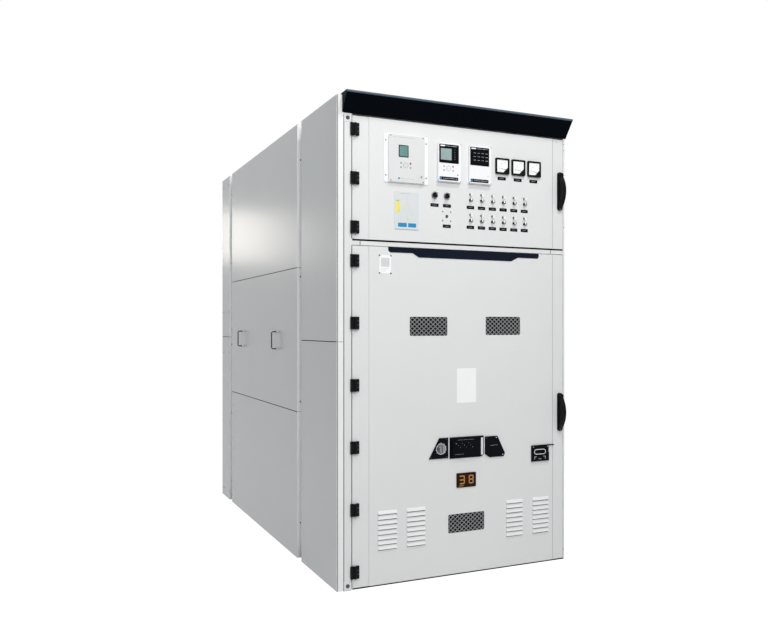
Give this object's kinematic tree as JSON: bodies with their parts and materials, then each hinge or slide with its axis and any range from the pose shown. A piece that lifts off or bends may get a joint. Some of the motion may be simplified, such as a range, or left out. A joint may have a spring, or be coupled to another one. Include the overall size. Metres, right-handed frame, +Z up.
{
  "type": "switchgear",
  "caption": "Metal-clad medium-voltage switchgear cubicle with two hinged front doors, relays, meters, withdrawable breaker truck, shutters and earthing switch",
  "frame": {"origin": "On the floor, at the centre of the four anchor holes in the base", "axes": "The front with the doors faces -Y, +X is to the right of a person who faces it, +Z is up"},
  "size_m": [1.4835, 2.875, 2.6143],
  "materials": {
    "door_paint": "light grey fine-texture powder coat",
    "cover_paint": "light grey powder coat",
    "header_paint": "near-black gloss powder coat",
    "black_plate": "satin black powder coat",
    "zinc_sheet": "zinc-coated sheet steel",
    "steel": "machined steel",
    "copper": "bare copper bar",
    "resin": "cast epoxy resin",
    "shed_grey": "grey silicone sheds",
    "black_plastic": "black moulding",
    "relay_grey": "pale grey moulding",
    "link_white": "white moulding"
  },
  "bodies": {
    "cabinet": {"base_frame": "zinc_sheet", "frame": "door_paint", "roof_plate": "zinc_sheet", "side_walls": "zinc_sheet", "end_covers": "cover_paint", "access_panel": "cover_paint", "rear_covers": "cover_paint", "header_canopy": "header_paint", "partitions": "zinc_sheet", "spouts": "resin", "busbars": "copper", "current_transformers": "resin", "arresters_insulators": "shed_grey", "earth_switch_frame": "steel", "earth_bar": "copper", "cabinet_rails": "steel", "truck_beam": "zinc_sheet", "fixed_hinges": "black_plate"},
    "flap_breaker": {"flap_breaker": "cover_paint"},
    "flap_bus": {"flap_bus": "cover_paint"},
    "flap_cable": {"flap_cable": "cover_paint"},
    "earth_blades": {"earth_blades": "copper"},
    "shutter_upper": {"shutter_upper": "zinc_sheet"},
    "shutter_lower": {"shutter_lower": "zinc_sheet"},
    "truck": {"truck_chassis": "zinc_sheet", "mechanism_box": "door_paint", "pole_columns": "resin", "contact_arms": "copper"},
    "wheels_front": {"wheels_front": "steel"},
    "wheels_rear": {"wheels_rear": "steel"},
    "racking_screw": {"racking_screw": "steel"},
    "main_door": {"main_door": "door_paint", "main_door_fittings": "black_plate", "door_vents": "door_paint", "operating_panel": "black_plate"},
    "racking_flap": {"racking_flap": "black_plate"},
    "lock_knob": {"lock_knob": "steel"},
    "earth_slide": {"earth_slide": "black_plate"},
    "main_handle": {"main_handle": "black_plate"},
    "lock_rod_upper": {"lock_rod_upper": "steel"},
    "lock_rod_lower": {"lock_rod_lower": "steel"},
    "lv_door": {"lv_door": "door_paint", "lv_door_fittings": "black_plastic", "relays": "relay_grey", "meters": "black_plastic"},
    "selector_1": {"selector_1": "black_plastic"},
    "selector_2": {"selector_2": "black_plastic"},
    "lv_handle": {"lv_handle": "black_plate"},
    "link_1": {"link_1": "link_white"},
    "link_2": {"link_2": "link_white"},
    "link_3": {"link_3": "link_white"},
    "link_4": {"link_4": "link_white"},
    "link_5": {"link_5": "link_white"},
    "link_6": {"link_6": "link_white"},
    "link_7": {"link_7": "link_white"},
    "link_8": {"link_8": "link_white"},
    "link_9": {"link_9": "link_white"},
    "link_10": {"link_10": "link_white"},
    "link_11": {"link_11": "link_white"},
    "link_12": {"link_12": "link_white"}
  },
  "joints": [
    {"name": "flap_breaker_lift", "type": "hinge", "parent": "cabinet", "child": "flap_breaker", "pos_m": [0, -0.1995, 2.608], "axis": [-1, 0, 0], "range_deg": [0, 80]},
    {"name": "flap_bus_lift", "type": "hinge", "parent": "cabinet", "child": "flap_bus", "pos_m": [0, 0.568, 2.608], "axis": [-1, 0, 0], "range_deg": [0, 80]},
    {"name": "flap_cable_lift", "type": "hinge", "parent": "cabinet", "child": "flap_cable", "pos_m": [0, 1.288, 2.608], "axis": [-1, 0, 0], "range_deg": [0, 80]},
    {"name": "earth_switch_close", "type": "hinge", "parent": "cabinet", "child": "earth_blades", "pos_m": [0, 1, 0.39], "axis": [1, 0, 0], "range_deg": [0, 95]},
    {"name": "truck_rack", "type": "slide", "parent": "cabinet", "child": "truck", "axis": [0, 1, 0], "range_m": [0, 0.3]},
    {"name": "shutter_upper_lift", "type": "slide", "parent": "cabinet", "child": "shutter_upper", "axis": [0, 0, 1], "range_m": [0, 0.21]},
    {"name": "shutter_lower_drop", "type": "slide", "parent": "cabinet", "child": "shutter_lower", "axis": [0, 0, -1], "range_m": [0, 0.21]},
    {"name": "wheels_front_roll", "type": "hinge", "parent": "truck", "child": "wheels_front", "pos_m": [0, -1.145, 0.6703], "axis": [1, 0, 0], "continuous": true},
    {"name": "wheels_rear_roll", "type": "hinge", "parent": "truck", "child": "wheels_rear", "pos_m": [0, -0.56, 0.6703], "axis": [1, 0, 0], "continuous": true},
    {"name": "racking_screw_turn", "type": "hinge", "parent": "cabinet", "child": "racking_screw", "pos_m": [0, -1, 0.711], "axis": [0, 1, 0], "continuous": true},
    {"name": "main_door_swing", "type": "hinge", "parent": "cabinet", "child": "main_door", "pos_m": [-0.638, -1.412, 0.912], "axis": [0, 0, -1], "range_deg": [0, 120]},
    {"name": "lv_door_swing", "type": "hinge", "parent": "cabinet", "child": "lv_door", "pos_m": [-0.638, -1.412, 2.175], "axis": [0, 0, -1], "range_deg": [0, 120]},
    {"name": "main_handle_turn", "type": "hinge", "parent": "main_door", "child": "main_handle", "pos_m": [0.664, -1.411, 0.976], "axis": [0, 1, 0], "range_deg": [0, 90]},
    {"name": "lock_rod_upper_draw", "type": "slide", "parent": "main_door", "child": "lock_rod_upper", "axis": [0, 0, -1], "range_m": [0, 0.0189]},
    {"name": "lock_rod_lower_draw", "type": "slide", "parent": "main_door", "child": "lock_rod_lower", "axis": [0, 0, 1], "range_m": [0, 0.0189]},
    {"name": "racking_flap_lift", "type": "hinge", "parent": "main_door", "child": "racking_flap", "pos_m": [0.0205, -1.4125, 0.764], "axis": [-1, 0, 0], "range_deg": [0, 110]},
    {"name": "lock_knob_turn", "type": "hinge", "parent": "main_door", "child": "lock_knob", "pos_m": [-0.13, -1.407, 0.711], "axis": [0, 1, 0], "range_deg": [0, 90]},
    {"name": "earth_slide_draw", "type": "slide", "parent": "main_door", "child": "earth_slide", "axis": [0, 0, -1], "range_m": [0, 0.036]},
    {"name": "lv_handle_turn", "type": "hinge", "parent": "lv_door", "child": "lv_handle", "pos_m": [0.664, -1.411, 2.287], "axis": [0, 1, 0], "range_deg": [0, 90]},
    {"name": "selector_1_turn", "type": "hinge", "parent": "lv_door", "child": "selector_1", "pos_m": [-0.168, -1.405, 2.112], "axis": [0, 1, 0], "range_deg": [-45, 45]},
    {"name": "selector_2_turn", "type": "hinge", "parent": "lv_door", "child": "selector_2", "pos_m": [-0.093, -1.405, 2.112], "axis": [0, 1, 0], "range_deg": [-45, 45]},
    {"name": "link_1_lift", "type": "hinge", "parent": "lv_door", "child": "link_1", "pos_m": [0.058, -1.4145, 2.099], "axis": [1, 0, 0], "range_deg": [0, 60]},
    {"name": "link_2_lift", "type": "hinge", "parent": "lv_door", "child": "link_2", "pos_m": [0.1296, -1.4145, 2.099], "axis": [1, 0, 0], "range_deg": [0, 60]},
    {"name": "link_3_lift", "type": "hinge", "parent": "lv_door", "child": "link_3", "pos_m": [0.2012, -1.4145, 2.099], "axis": [1, 0, 0], "range_deg": [0, 60]},
    {"name": "link_4_lift", "type": "hinge", "parent": "lv_door", "child": "link_4", "pos_m": [0.2728, -1.4145, 2.099], "axis": [1, 0, 0], "range_deg": [0, 60]},
    {"name": "link_5_lift", "type": "hinge", "parent": "lv_door", "child": "link_5", "pos_m": [0.3444, -1.4145, 2.099], "axis": [1, 0, 0], "range_deg": [0, 60]},
    {"name": "link_6_lift", "type": "hinge", "parent": "lv_door", "child": "link_6", "pos_m": [0.416, -1.4145, 2.099], "axis": [1, 0, 0], "range_deg": [0, 60]},
    {"name": "link_7_lift", "type": "hinge", "parent": "lv_door", "child": "link_7", "pos_m": [0.058, -1.4145, 1.984], "axis": [1, 0, 0], "range_deg": [0, 60]},
    {"name": "link_8_lift", "type": "hinge", "parent": "lv_door", "child": "link_8", "pos_m": [0.1296, -1.4145, 1.984], "axis": [1, 0, 0], "range_deg": [0, 60]},
    {"name": "link_9_lift", "type": "hinge", "parent": "lv_door", "child": "link_9", "pos_m": [0.2012, -1.4145, 1.984], "axis": [1, 0, 0], "range_deg": [0, 60]},
    {"name": "link_10_lift", "type": "hinge", "parent": "lv_door", "child": "link_10", "pos_m": [0.2728, -1.4145, 1.984], "axis": [1, 0, 0], "range_deg": [0, 60]},
    {"name": "link_11_lift", "type": "hinge", "parent": "lv_door", "child": "link_11", "pos_m": [0.3444, -1.4145, 1.984], "axis": [1, 0, 0], "range_deg": [0, 60]},
    {"name": "link_12_lift", "type": "hinge", "parent": "lv_door", "child": "link_12", "pos_m": [0.416, -1.4145, 1.984], "axis": [1, 0, 0], "range_deg": [0, 60]}
  ],
  "couplings": [
    {"joint": "shutter_upper_lift", "follows": "truck_rack", "ratio": 0.7},
    {"joint": "shutter_lower_drop", "follows": "truck_rack", "ratio": 0.7},
    {"joint": "wheels_front_roll", "follows": "truck_rack", "rad_per_m": -33.333},
    {"joint": "wheels_rear_roll", "follows": "truck_rack", "rad_per_m": -33.333},
    {"joint": "racking_screw_turn", "follows": "truck_rack", "rad_per_m": 523.6},
    {"joint": "lock_rod_upper_draw", "follows": "main_handle_turn", "m_per_rad": 0.012},
    {"joint": "lock_rod_lower_draw", "follows": "main_handle_turn", "m_per_rad": 0.012}
  ]
}
